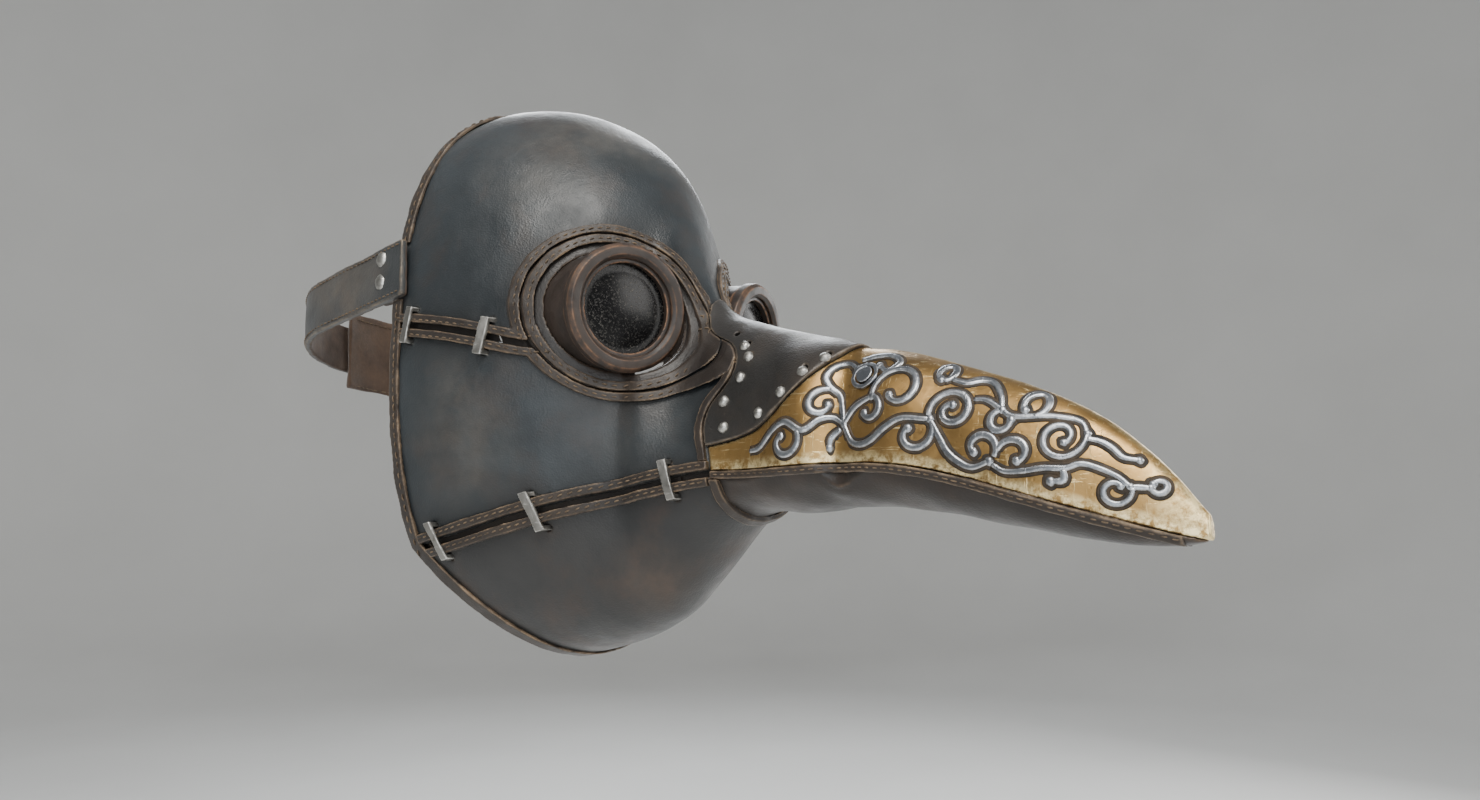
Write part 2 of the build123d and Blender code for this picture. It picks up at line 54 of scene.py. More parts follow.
# ---- shader helpers -----------------------------------------------------
class Shader:
    """A material being built, with short names for the nodes it uses."""

    def __init__(self, name):
        self.mat = bpy.data.materials.new(name)
        self.mat.use_nodes = True
        self.tree = self.mat.node_tree
        self.bsdf = self.tree.nodes["Principled BSDF"]
        self.coord = self.tree.nodes.new("ShaderNodeTexCoord").outputs["Object"]

    def node(self, kind, **values):
        made = self.tree.nodes.new(kind)
        for key, value in values.items():
            setattr(made, key, value)
        return made

    def join(self, source, target):
        self.tree.links.new(source, target)

    def set(self, **values):
        for key, value in values.items():
            self.bsdf.inputs[key.replace("_", " ")].default_value = value

    def stretch(self, scale, turn=(0, 0, 0)):
        made = self.node("ShaderNodeMapping")
        made.inputs["Scale"].default_value = scale
        made.inputs["Rotation"].default_value = turn
        self.join(self.coord, made.inputs["Vector"])
        return made.outputs["Vector"]

    def noise(self, scale, detail=4.0, rough=0.55, vector=None, distort=0.0):
        made = self.node("ShaderNodeTexNoise")
        made.inputs["Scale"].default_value = scale
        made.inputs["Detail"].default_value = detail
        made.inputs["Roughness"].default_value = rough
        made.inputs["Distortion"].default_value = distort
        self.join(vector or self.coord, made.inputs["Vector"])
        return made.outputs["Fac"]

    def cells(self, scale, feature="F1", vector=None):
        made = self.node("ShaderNodeTexVoronoi", feature=feature)
        made.inputs["Scale"].default_value = scale
        self.join(vector or self.coord, made.inputs["Vector"])
        return made.outputs["Distance"]

    def attribute(self, name):
        return self.node("ShaderNodeAttribute", attribute_name=name).outputs["Fac"]

    def ramp(self, source, low, high, out_low=0.0, out_high=1.0):
        made = self.node("ShaderNodeMapRange", clamp=True)
        made.inputs["From Min"].default_value = low
        made.inputs["From Max"].default_value = high
        made.inputs["To Min"].default_value = out_low
        made.inputs["To Max"].default_value = out_high
        self.join(source, made.inputs["Value"])
        return made.outputs["Result"]

    def math(self, kind, a, b, clamp=False):
        made = self.node("ShaderNodeMath", operation=kind, use_clamp=clamp)
        for value, socket in ((a, made.inputs[0]), (b, made.inputs[1])):
            if isinstance(value, (int, float)):
                socket.default_value = value
            else:
                self.join(value, socket)
        return made.outputs[0]

    def mix(self, amount, a, b):
        made = self.node("ShaderNodeMix", data_type="RGBA")
        if isinstance(amount, (int, float)):
            made.inputs[0].default_value = amount
        else:
            self.join(amount, made.inputs[0])
        for value, socket in ((a, made.inputs[6]), (b, made.inputs[7])):
            if isinstance(value, tuple):
                socket.default_value = (*value, 1.0)
            else:
                self.join(value, socket)
        return made.outputs[2]

    def bump(self, height, strength, distance, previous=None):
        made = self.node("ShaderNodeBump")
        made.inputs["Strength"].default_value = strength
        made.inputs["Distance"].default_value = distance
        self.join(height, made.inputs["Height"])
        if previous is not None:
            self.join(previous, made.inputs["Normal"])
        return made.outputs["Normal"]

    def finish(self, color, rough, normal=None, metal=None):
        self.join(color, self.bsdf.inputs["Base Color"])
        self.join(rough, self.bsdf.inputs["Roughness"])
        if normal is not None:
            self.join(normal, self.bsdf.inputs["Normal"])
        if metal is not None:
            self.join(metal, self.bsdf.inputs["Metallic"])
        return self.mat


def leather(name, dark, light, tint, worn, rough=(0.30, 0.52), edge=1.0, inside=None):
    s = Shader(name)
    mottle = s.ramp(s.noise(16, 6, 0.6, distort=0.6), 0.32, 0.7)
    base = s.mix(mottle, dark, light)
    base = s.mix(s.math("MULTIPLY", s.ramp(s.noise(38, 5, 0.65), 0.48, 0.72), 0.55), base, tint)
    # lighter rubbed patches: worn leather, partly a painted highlight on the crown and the chin; worn edges and
    # scuffs are added to the same mask
    rub_and_highlight = s.math("MULTIPLY", s.attribute("worn"), s.ramp(s.noise(55, 7, 0.7), 0.30, 0.68), clamp=True)
    edges = s.math("MULTIPLY", s.attribute("edge"), edge)
    edges = s.math("MULTIPLY", edges, s.ramp(s.noise(160, 5, 0.7), 0.35, 0.65), clamp=True)
    worn_in = s.math("MAXIMUM", rub_and_highlight, edges)
    scuff = s.noise(1.0, 6, 0.75, vector=s.stretch((90, 260, 40), (0.4, 0.2, 0.7)))
    worn_in = s.math("MAXIMUM", worn_in, s.ramp(scuff, 0.70, 0.80, 0.0, 0.35))
    base = s.mix(worn_in, base, worn)
    # painted shade with some grime: the colour goes darker in hollows and near the seams
    base = s.mix(s.math("MULTIPLY", s.attribute("grime"), 0.85), base, tuple(0.28 * c for c in dark))
    fine = s.cells(1300)
    crease = s.noise(210, 6, 0.62)
    swell = s.noise(34, 3, 0.5)
    normal = s.bump(swell, 0.35, 0.0016)
    normal = s.bump(crease, 0.35, 0.0005, normal)
    normal = s.bump(fine, 0.30, 0.00022, normal)
    shine = s.ramp(s.noise(60, 5, 0.6), 0.3, 0.7, rough[0], rough[1])
    if inside:
        back = s.attribute("inside")
        base = s.mix(back, base, s.mix(s.ramp(s.noise(70, 6, 0.7), 0.35, 0.7), *inside))
        shine = s.math("ADD", shine, s.math("MULTIPLY", back, 0.4), clamp=True)
    s.set(Sheen_Weight=0.05, Sheen_Roughness=0.5, IOR=1.5)
    return s.finish(base, shine, normal)


def metal(name, base, deep, bright, rough=(0.22, 0.45), scratch=1.0, pits=1.0, edge=1.0):
    s = Shader(name)
    patina = s.ramp(s.noise(26, 7, 0.68, distort=0.4), 0.42, 0.74)
    spots = s.ramp(s.noise(150, 7, 0.75, distort=0.3), 0.58, 0.70)
    color = s.mix(s.math("MULTIPLY", patina, 0.6), base, deep)
    color = s.mix(s.math("MULTIPLY", spots, 0.55), color, deep)
    lines = s.noise(1.0, 4, 0.7, vector=s.stretch((420, 60, 900), (0.5, 0.1, 0.3)))
    lines_b = s.noise(1.0, 4, 0.7, vector=s.stretch((260, 1300, 70), (0.1, 0.7, 0.2)))
    marks = s.math("MAXIMUM", s.ramp(lines, 0.60, 0.70), s.ramp(lines_b, 0.62, 0.72))
    # bright bare metal on convex edges and on the worn mask; on the brass the mask also paints a highlight along
    # the ridge and at the tip
    chip = s.math("MULTIPLY", s.math("MAXIMUM", s.attribute("edge"), s.attribute("worn")), edge)
    chip = s.math("MULTIPLY", chip, s.ramp(s.noise(330, 5, 0.7), 0.38, 0.58), clamp=True)
    color = s.mix(s.math("MULTIPLY", marks, 0.35 * scratch, clamp=True), color, bright)
    color = s.mix(chip, color, bright)
    # patina with painted shade: hollows darken toward the deep colour and get rougher
    hollow = s.attribute("grime")
    color = s.mix(s.math("MULTIPLY", hollow, 0.8), color, deep)
    pit = s.cells(420)
    pit_mask = s.ramp(pit, 0.05, 0.22)
    normal = s.bump(s.noise(90, 5, 0.6), 0.25, 0.0007)
    normal = s.bump(pit_mask, 0.22 * pits, 0.0002, normal)
    normal = s.bump(marks, 0.25 * scratch, 0.00012, normal)
    shine = s.ramp(s.noise(75, 6, 0.65), 0.3, 0.72, rough[0], rough[1])
    shine = s.math("ADD", shine, s.math("MULTIPLY", hollow, 0.25), clamp=True)
    s.set(Metallic=1.0)
    return s.finish(color, shine, normal)


suede_tones = ((0.034, 0.020, 0.013), (0.095, 0.056, 0.034))
slate = leather("slate_leather", (0.013, 0.017, 0.020), (0.034, 0.042, 0.048), (0.040, 0.027, 0.020),
                (0.150, 0.135, 0.115), inside=suede_tones)
chin_leather = leather("chin_leather", (0.013, 0.014, 0.015), (0.034, 0.033, 0.032), (0.062, 0.034, 0.021),
                       (0.130, 0.085, 0.058), inside=suede_tones)
strap_leather = leather("strap_leather", (0.016, 0.019, 0.021), (0.034, 0.039, 0.042), (0.045, 0.030, 0.020),
                        (0.20, 0.155, 0.11), edge=1.4, inside=suede_tones)
welt_leather = leather("brown_leather", (0.014, 0.010, 0.008), (0.040, 0.027, 0.018), (0.028, 0.019, 0.013),
                       (0.29, 0.20, 0.12), edge=0.95, rough=(0.36, 0.60))
nose_leather = leather("nose_leather", (0.012, 0.011, 0.010), (0.032, 0.028, 0.025), (0.045, 0.029, 0.018),
                       (0.20, 0.155, 0.11), edge=1.3)
under_leather = leather("dark_brown_leather", (0.010, 0.007, 0.006), (0.026, 0.019, 0.014), (0.05, 0.028, 0.017),
                        (0.13, 0.085, 0.05), edge=1.2)
inner_leather = leather("lining_leather", (0.014, 0.010, 0.008), (0.036, 0.026, 0.019), (0.03, 0.02, 0.015),
                        (0.08, 0.055, 0.04), rough=(0.6, 0.8))
brass = metal("beak_brass", (0.43, 0.265, 0.098), (0.085, 0.052, 0.024), (1.0, 0.82, 0.45), rough=(0.26, 0.52),
              scratch=1.8, edge=1.5)
silver = metal("scroll_silver", (0.30, 0.32, 0.35), (0.08, 0.08, 0.09), (0.85, 0.87, 0.90),
               rough=(0.22, 0.42))
aged = metal("aged_silver", (0.31, 0.30, 0.28), (0.05, 0.045, 0.04), (0.82, 0.81, 0.76),
             rough=(0.28, 0.55), pits=2.2)


def bronzed():
    s = Shader("bronzed_brown")
    coat = s.mix(s.ramp(s.noise(45, 6, 0.65), 0.35, 0.7), (0.016, 0.012, 0.010), (0.046, 0.032, 0.025))
    chip = s.math("MULTIPLY", s.attribute("edge"), s.ramp(s.noise(190, 6, 0.72), 0.40, 0.62), clamp=True)
    spots = s.ramp(s.noise(260, 6, 0.75), 0.70, 0.76, 0.0, 0.6)
    bare = s.math("MAXIMUM", chip, spots)
    color = s.mix(bare, coat, (0.40, 0.215, 0.12))
    # painted shade with some grime: the hollows of the rings and tubes go nearly black
    color = s.mix(s.math("MULTIPLY", s.attribute("grime"), 0.8), color, (0.008, 0.006, 0.005))
    normal = s.bump(s.noise(120, 6, 0.65), 0.4, 0.0006)
    normal = s.bump(s.noise(520, 4, 0.6), 0.3, 0.0002, normal)
    shine = s.ramp(s.noise(85, 5, 0.6), 0.3, 0.7, 0.34, 0.62)
    return s.finish(color, shine, normal, s.math("MULTIPLY", bare, 0.85))


def dusty_glass():
    s = Shader("dusty_glass")
    dust = s.ramp(s.noise(1100, 5, 0.8), 0.54, 0.62)
    haze = s.ramp(s.noise(60, 5, 0.6), 0.35, 0.75, 0.15, 1.0)
    dust = s.math("MULTIPLY", dust, haze)
    color = s.mix(s.math("MULTIPLY", dust, 0.8), (0.003, 0.003, 0.0035), (0.15, 0.14, 0.125))
    shine = s.math("ADD", s.math("MULTIPLY", dust, 0.45), 0.24, clamp=True)
    normal = s.bump(dust, 0.25, 0.0001)
    s.set(Specular_IOR_Level=0.32, IOR=1.45)
    return s.finish(color, shine, normal)


def thread():
    s = Shader("thread")
    color = s.mix(s.ramp(s.noise(300, 4), 0.35, 0.65), (0.05, 0.034, 0.021), (0.18, 0.125, 0.075))
    twist = s.noise(1.0, 2, 0.5, vector=s.stretch((2600, 2600, 2600)))
    return s.finish(color, s.ramp(twist, 0.3, 0.7, 0.6, 0.85), s.bump(twist, 0.6, 0.0002))


def suede():
    s = Shader("suede")
    nap = s.noise(420, 7, 0.75)
    color = s.mix(s.ramp(s.noise(28, 5, 0.65), 0.35, 0.7), *suede_tones)
    color = s.mix(s.ramp(nap, 0.4, 0.7, 0.0, 0.35), color, (0.15, 0.095, 0.06))
    normal = s.bump(s.noise(50, 4, 0.6), 0.4, 0.001)
    normal = s.bump(nap, 0.5, 0.0004, normal)
    s.set(Sheen_Weight=0.35, Sheen_Roughness=0.4)
    return s.finish(color, s.ramp(nap, 0.3, 0.7, 0.82, 0.97), normal)


# Painted shade of the engraved groove round each scroll stroke: a dark outline laid on the brass, not cut into
# it.
def groove_shade():
    s = Shader("engraved_groove_shade")
    color = s.mix(s.ramp(s.noise(220, 5), 0.35, 0.65), (0.012, 0.009, 0.006), (0.055, 0.034, 0.016))
    return s.finish(color, s.ramp(s.noise(90, 4), 0.3, 0.7, 0.5, 0.8), s.bump(s.noise(500, 4), 0.3, 0.0002))


def rubber():
    s = Shader("gasket_rubber")
    color = s.mix(s.ramp(s.noise(120, 4), 0.35, 0.65), (0.008, 0.008, 0.008), (0.022, 0.021, 0.02))
    return s.finish(color, s.ramp(s.noise(200, 4), 0.3, 0.7, 0.6, 0.85), s.bump(s.noise(700, 4), 0.3, 0.0001))


bronze_mat, glass_mat, thread_mat = bronzed(), dusty_glass(), thread()
suede_mat, groove_shade_mat, rubber_mat = suede(), groove_shade(), rubber()


# ---- mesh helpers -------------------------------------------------------
def evaluated(obj):
    graph = bpy.context.evaluated_depsgraph_get()
    made = bpy.data.meshes.new_from_object(obj.evaluated_get(graph))
    obj.modifiers.clear()
    obj.data = made
    return obj


def link(name, mesh):
    obj = bpy.data.objects.new(name, mesh)
    bpy.context.scene.collection.objects.link(obj)
    return obj


def arrays(mesh):
    co = np.empty(len(mesh.vertices) * 3)
    mesh.vertices.foreach_get("co", co)
    normal = np.empty(len(mesh.vertices) * 3)
    mesh.vertices.foreach_get("normal", normal)
    edges = np.empty(len(mesh.edges) * 2, np.int64)
    mesh.edges.foreach_get("vertices", edges)
    return co.reshape(-1, 3), normal.reshape(-1, 3), edges.reshape(-1, 2)


def put(mesh, name, values):
    old = mesh.attributes.get(name)
    if old:
        mesh.attributes.remove(old)
    mesh.attributes.new(name, "FLOAT", "POINT").data.foreach_set("value", values.astype(np.float32))


def curvature(mesh, passes=2):
    """Positive where the surface is convex, negative in hollows."""
    co, normal, edges = arrays(mesh)
    count = len(co)
    step = co[edges[:, 1]] - co[edges[:, 0]]
    length = np.linalg.norm(step, axis=1) + 1e-9
    bend = np.zeros(count)
    total = np.bincount(edges.ravel(), minlength=count) + 1e-9
    for end, sign in ((0, -1), (1, 1)):
        dot = (step * normal[edges[:, end]]).sum(1) * sign / length
        bend += np.bincount(edges[:, end], dot, minlength=count)
    bend /= total
    for _ in range(passes):
        ring = np.bincount(edges[:, 0], bend[edges[:, 1]], minlength=count)
        ring += np.bincount(edges[:, 1], bend[edges[:, 0]], minlength=count)
        bend = 0.5 * bend + 0.5 * ring / total
    return bend


def paint(obj, edge_low=0.04, edge_high=0.16, worn=None, grime=None):
    mesh = obj.data
    bend = curvature(mesh)
    put(mesh, "edge", np.clip((bend - edge_low) / (edge_high - edge_low), 0, 1))
    hollow = np.clip((-bend - edge_low) / (edge_high - edge_low), 0, 1)
    co = arrays(mesh)[0]
    # rubbed wear, partly a painted highlight on the crown, the chin and the beak's ridge and tip
    put(mesh, "worn", np.zeros(len(co)) if worn is None else np.clip(worn(co), 0, 1))
    # painted shade with some grime: dark in hollows and, where a function is given, near the seams
    put(mesh, "grime", hollow if grime is None else np.clip(hollow + grime(co), 0, 1))


def wobble(obj, size, amount, seed=0.0):
    """Slow unevenness of a hand-made piece."""
    co, normal, _ = arrays(obj.data)
    k = 2 * math.pi / size
    x, y, z = (co + seed).T
    wave = np.sin(k * x + 1.7 * np.sin(0.6 * k * z)) * np.sin(k * 0.8 * y + 0.9)
    wave += np.sin(k * 0.7 * z + k * 0.4 * x)
    co += normal * (wave * amount * 0.5)[:, None]
    obj.data.vertices.foreach_set("co", co.ravel())
    obj.data.update()


def soft(node, voxel, smooth, material, slot, name=None, rough=0.0, size=0.03, **painting):
    """A dense mesh with softened edges that stands for a CAD node."""
    voxel = voxel * 1.0
    obj = link(name or node + "_look", nodes[node].data.copy())
    obj.data.materials.clear()
    remesh = obj.modifiers.new("remesh", "REMESH")
    remesh.mode, remesh.voxel_size, remesh.adaptivity = "VOXEL", voxel * MM, 0.0
    if smooth:
        relax = obj.modifiers.new("relax", "SMOOTH")
        relax.factor, relax.iterations = 0.5, smooth
    evaluated(obj)
    if rough:
        wobble(obj, size, rough * MM, seed=0.013 * len(node))
    obj.data.materials.clear()
    obj.data.materials.append(material)
    obj.data.shade_smooth()
    paint(obj, **painting)
    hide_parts(node)
    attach(obj, "mask" if not node.startswith("eyepiece_ring") else "ring_" + node.split("_")[-1])
    return obj


def blob(co, centre, radius):
    """1 at the centre, falling to 0 at the radius; lengths in millimetres."""
    d = np.linalg.norm((co / MM - np.array(centre)) / np.array(radius), axis=1)
    return np.clip(1 - d, 0, 1) ** 0.8


# Rubbed patches on the crown, temples, cheeks, muzzle and chin: partly wear, partly a painted highlight,
# strongest on the top of the head.
def head_worn(co):
    worn = 0.85 * blob(co, (0, -62, 108), (55, 48, 42))
    for side in (-1, 1):
        worn += 0.35 * blob(co, (side * 48, -50, 70), (26, 34, 34))
        worn += 0.42 * blob(co, (side * 66, -34, -35), (26, 30, 48))
        worn += 0.30 * blob(co, (side * 30, -100, -40), (22, 26, 30))
        worn += 0.45 * blob(co, (side * 20, -92, -98), (22, 24, 22))
    return worn


def tree_of(*names):
    verts, faces = [], []
    for name in names:
        mesh = nodes[name].data
        start = len(verts)
        verts += [v.co.copy() for v in mesh.vertices]
        faces += [[start + i for i in p.vertices] for p in mesh.polygons]
    return BVHTree.FromPolygons(verts, faces)


all_welts = tree_of(*[node for node in nodes if "welt" in node])


def near_welts(co):
    """Dirt and shade that gather within a centimetre of the seams."""
    far = 13 * MM
    gap = np.full(len(co), far)
    for i, p in enumerate(co):
        found = all_welts.find_nearest(Vector(p), far)
        if found[3] is not None:
            gap[i] = found[3]
    return 0.75 * np.clip(1 - gap / far, 0, 1) ** 1.6


# ---- seam curves: (y, z) in millimetres ---------------------------------
def smooth_line(points, steps=8):
    """Points along a smooth curve through the given ones."""
    p = [Vector(q) for q in points]
    p = [p[0] * 2 - p[1]] + p + [p[-1] * 2 - p[-2]]
    line = []
    for a, b, c, d in zip(p, p[1:], p[2:], p[3:]):
        for k in range(steps):
            t = k / steps
            line.append(0.5 * (b * 2 + (c - a) * t + (a * 2 - b * 5 + c * 4 - d) * t * t
                               + (b * 3 - a - c * 3 + d) * t ** 3))
    line.append(p[-2])
    return line


upper_seam = smooth_line([(0, 6.5), (-45, -2), (-66, -7), (-90, -4), (-108, 2), (-122, 3.5)])
lower_seam = smooth_line([(0, -86), (-20, -82), (-47, -75), (-82, -66), (-111, -60.4), (-126, -58.5)])
brass_edge = smooth_line([(-129, -57.5), (-159, -58), (-187, -57.8), (-211, -60.8), (-237, -68.2), (-264, -76.6),
                          (-284, -82.3)])


def brass_worn(co):
    """Bright bare metal along the lower edge; along the ridge and at the tip it is partly wear and partly a
    painted highlight.
    """
    x, y, z = (co / MM).T
    edge_y, edge_z = [p.x for p in brass_edge][::-1], [p.y for p in brass_edge][::-1]
    above = z - np.interp(y, edge_y, edge_z)
    low = np.clip(1 - above / 4.5, 0, 1)
    ridge = 0.6 * np.clip(1 - np.abs(x) / 3, 0, 1)
    tip = 0.7 * np.clip((-y - 274) / 16, 0, 1)
    return np.maximum(low, np.maximum(ridge, tip))


# ---- leather head -------------------------------------------------------
head_middle = np.array((0, -30, -10)) * MM
for node, hide in (("skull_panel", slate), ("cheek_panel_right", slate), ("cheek_panel_left", slate),
                   ("chin_panel", chin_leather)):
    panel = soft(node, 0.8, 5, hide, "slate_leather", rough=0.5, size=0.045, worn=head_worn, grime=near_welts)
    spot, facing, _ = arrays(panel.data)
    put(panel.data, "inside", np.clip(-((spot - head_middle) * facing).sum(1) / 0.008, 0, 1))
soft("rim_binding", 0.5, 3, welt_leather, "brown_leather", rough=0.25, size=0.012)
for node in sorted(nodes):
    if "welt" in node:
        soft(node, 0.4, 3, welt_leather, "brown_leather", rough=0.22, size=0.009)
for side in ("right", "left"):
    soft(f"eyepiece_seat_{side}", 0.6, 3, under_leather, "slate_leather", grime=near_welts)
    soft(f"eyepiece_backing_{side}", 0.8, 2, inner_leather, "lining_leather")
    soft(f"upper_seam_tape_{side}", 0.7, 2, inner_leather, "lining_leather")
    soft(f"lower_seam_tape_{side}", 0.7, 2, inner_leather, "lining_leather")
    soft(f"eyepiece_tube_{side}", 0.6, 2, bronze_mat, "bronzed_brown", rough=0.15, size=0.01)
    soft(f"lens_gasket_{side}", 0.35, 1, rubber_mat, "gasket_rubber")
    soft(f"lens_{side}", 0.5, 4, glass_mat, "dusty_glass")
    soft(f"lens_retainer_{side}", 0.4, 2, bronze_mat, "bronzed_brown")
soft("upper_seam_staples", 0.28, 3, aged, "aged_silver", rough=0.2, size=0.006)
soft("lower_seam_staples", 0.28, 3, aged, "aged_silver", rough=0.2, size=0.006)

# ---- beak ---------------------------------------------------------------
soft("nose_plate", 0.5, 4, nose_leather, "nose_leather", rough=0.25, size=0.02)
soft("beak_brass_plate", 0.45, 2, brass, "beak_brass", rough=0.12, size=0.012, worn=brass_worn)
soft("beak_lining", 0.8, 2, inner_leather, "lining_leather")
soft("beak_collar", 0.8, 2, inner_leather, "lining_leather")
soft("beak_underside", 0.6, 4, under_leather, "dark_brown_leather", rough=0.4, size=0.02)
soft("beak_stud", 0.25, 3, silver, "scroll_silver")
soft("beak_stud_ring", 0.25, 3, silver, "scroll_silver", rough=0.15, size=0.004)


def strap_worn(co):
    return 0.5 * blob(co, (-84, 40, 30), (12, 40, 20)) + 0.5 * blob(co, (84, 40, 30), (12, 40, 20))


strap = soft("head_strap", 0.6, 3, strap_leather, "slate_leather", rough=0.4, size=0.03, worn=strap_worn)
spot, facing, _ = arrays(strap.data)
centre = np.stack([np.zeros(len(spot)), np.clip(spot[:, 1], None, 0.06), spot[:, 2]], 1)
outward = ((spot - centre) * facing * (1, 1, 0)).sum(1)
put(strap.data, "inside", np.clip(-outward / 0.02, 0, 1))
soft("strap_back_pad", 0.6, 8, suede_mat, "suede", rough=0.5, size=0.02)


# ---- eyepiece rings -----------------------------------------------------
right_hinge = [joint for joint in frame["joints"] if joint["child"] == "ring_right"][0]
out = Vector(right_hinge["axis"]).normalized()
across = Vector((-out.y, out.x, 0)).normalized()
up = out.cross(across)
ring_middle = Vector(right_hinge["pos_m"])


def eye_point(r, angle, depth, side):
    p = ring_middle + (across * math.cos(angle) + up * math.sin(angle)) * r * MM + out * depth * MM
    return Vector((-p.x, p.y, p.z)) if side == "left" else p


def turned(name, profile, side, material, dents=0.0, count=160):
    """Revolve (radius, depth) points round an eyepiece axis."""
    mesh = bmesh.new()
    rings = []
    for i in range(count):
        angle = 2 * math.pi * i / count
        loop = []
        for r, depth in profile:
            p = eye_point(r, angle, depth, side)
            if dents:
                n = noise.noise(p * 90) + 0.5 * noise.noise(p * 260)
                p = eye_point(r - dents * abs(n), angle, depth - 0.6 * dents * max(n, 0), side)
            loop.append(mesh.verts.new(p))
        rings.append(loop)
    for i in range(count):
        a, b = rings[i], rings[(i + 1) % count]
        for k in range(len(profile)):
            m = (k + 1) % len(profile)
            mesh.faces.new((a[k], a[m], b[m], b[k]))
    bmesh.ops.recalc_face_normals(mesh, faces=mesh.faces)
    data = bpy.data.meshes.new(name)
    mesh.to_mesh(data)
    mesh.free()
    obj = link(name, data)
    data.materials.append(material)
    data.shade_smooth()
    return obj


def rounded(corners, radius, steps=3):
    """Round the corners of a closed (radius, depth) profile and add points along its sides."""
    points = []
    n = len(corners)
    for i, (x, y) in enumerate(corners):
        p, a, b = Vector((x, y)), Vector(corners[i - 1]), Vector(corners[(i + 1) % n])
        r = min(radius, (a - p).length * 0.45, (b - p).length * 0.45)
        s, e = p + (a - p).normalized() * r, p + (b - p).normalized() * r
        for k in range(steps + 1):
            t = k / steps
            q = s * (1 - t) ** 2 + p * 2 * t * (1 - t) + e * t * t
            points.append((q.x, q.y))
        nxt = Vector(corners[(i + 1) % n])
        far = (nxt - p).length
        for k in range(1, int(far / 1.2)):
            q = p.lerp(nxt, k * 1.2 / far)
            if (q - e).length > 0.5 and (q - nxt).length > r + 0.5 and (q - p).length > r + 0.3:
                points.append((q.x, q.y))
    return points


ring_profile = [(22.3, -5.85), (25.2, -5.85), (25.2, -1.8), (23.8, -0.1), (20.6, -0.1), (19.2, -1.4),
                (19.2, -2.2), (22.3, -2.2)]
for side in ("right", "left"):
    ring = turned(f"eyepiece_front_ring_{side}", rounded(ring_profile, 0.45), side, bronze_mat, dents=0.16)
    paint(ring, 0.03, 0.12)
    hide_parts(f"eyepiece_ring_{side}")
    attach(ring, f"ring_{side}")


# ---- small things laid on the surfaces ----------------------------------
def side_hit(tree, y, z, side):
    """Point and normal where a line along X from that side meets the surface; y and z in millimetres."""
    found = tree.ray_cast(Vector((side * 0.3, y * MM, z * MM)), Vector((-side, 0, 0)))
    return (found[0], found[1]) if found[0] is not None else None


def stitch(mesh, middle, along, normal, length, radius):
    """One stitch: a bowed thread that sinks at both ends."""
    along = (along - normal * along.dot(normal)).normalized()
    wide = along.cross(normal)
    rings = []
    for k in range(7):
        t = k / 6 * 2 - 1
        centre = middle + along * (t * length / 2) + normal * (radius * (0.75 - 1.5 * t * t))
        r = radius * (1.0 - 0.25 * t * t)
        rings.append([mesh.verts.new(centre + (wide * math.cos(a) + normal * math.sin(a)) * r)
                      for a in (i * math.pi / 3 for i in range(6))])
    for a, b in zip(rings, rings[1:]):
        for i in range(6):
            mesh.faces.new((a[i], a[(i + 1) % 6], b[(i + 1) % 6], b[i]))
    mesh.faces.new(rings[0][::-1])
    mesh.faces.new(rings[-1])


def finish_mesh(mesh, name, material, node=None, painted=True):
    bmesh.ops.recalc_face_normals(mesh, faces=mesh.faces)
    data = bpy.data.meshes.new(name)
    mesh.to_mesh(data)
    mesh.free()
    data.materials.append(material)
    data.shade_smooth()
    obj = link(name, data)
    if painted:
        paint(obj, 0.03, 0.2)
    if node:
        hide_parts(*([node] if isinstance(node, str) else node))
    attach(obj, "mask")
    return obj


def walk(line, step):
    """Evenly spaced (point, direction) along a line."""
    made, carry = [], step * 0.5
    for a, b in zip(line, line[1:]):
        length = (b - a).length
        while carry <= length and length > 0:
            made.append((a.lerp(b, carry / length), (b - a).normalized()))
            carry += step
        carry -= length
    return made


def stitch_row(mesh, tree, line, shift, sides, step=3.3, length=2.3, radius=0.33):
    for spot, way in walk(line, step):
        aside = Vector((-way.y, way.x)) * shift
        for side in sides:
            hit = side_hit(tree, spot.x + aside.x, spot.y + aside.y, side)
            if hit and abs(hit[1].x) > 0.18:
                stitch(mesh, hit[0], Vector((0, way.x, way.y)), hit[1], length * MM, radius * MM)


rows = bmesh.new()
for shift in (-3.1, 3.1):
    stitch_row(rows, all_welts, upper_seam, shift, (-1, 1))
    stitch_row(rows, all_welts, lower_seam, shift, (-1, 1))
stitch_row(rows, all_welts, brass_edge, 1.7, (-1, 1), step=3.0, length=2.1, radius=0.28)
eye_welts = {side: tree_of(f"skull_welt_{side}", f"cheek_upper_welt_{side}", f"eyepiece_welt_{side}",
                           f"nose_root_welt_{side}") for side in ("right", "left")}
for side in ("right", "left"):
    sign = -1 if side == "right" else 1
    toward = Vector((-out.x, out.y, out.z)) if side == "left" else out
    for r, count in ((34.6, 66), (30.2, 58)):
        for k in range(count):
            a = 2 * math.pi * k / count
            p, q = eye_point(r, a, 12, side), eye_point(r, a + 0.02, 12, side)
            found = eye_welts[side].ray_cast(p, -toward)
            if found[0] is not None and found[1].dot(toward) > 0.25:
                stitch(rows, found[0], q - p, found[1], 2.2 * MM, 0.31 * MM)
binding_tree = tree_of("rim_binding")
for k in range(150):
    a = 2 * math.pi * k / 150
    way = Vector((math.cos(a), 0, math.sin(a)))
    for depth in (2.6, 6, 10, 14, 18, 22, 26, 30, 34, 38):
        start = way * 0.25 + Vector((0, -depth * MM, 0))
        found = binding_tree.ray_cast(start, -way)
        if found[0] is not None and found[1].dot(way) > 0.3:
            stitch(rows, found[0], Vector((-math.sin(a), 0, math.cos(a))), found[1], 3.0 * MM, 0.33 * MM)
            break
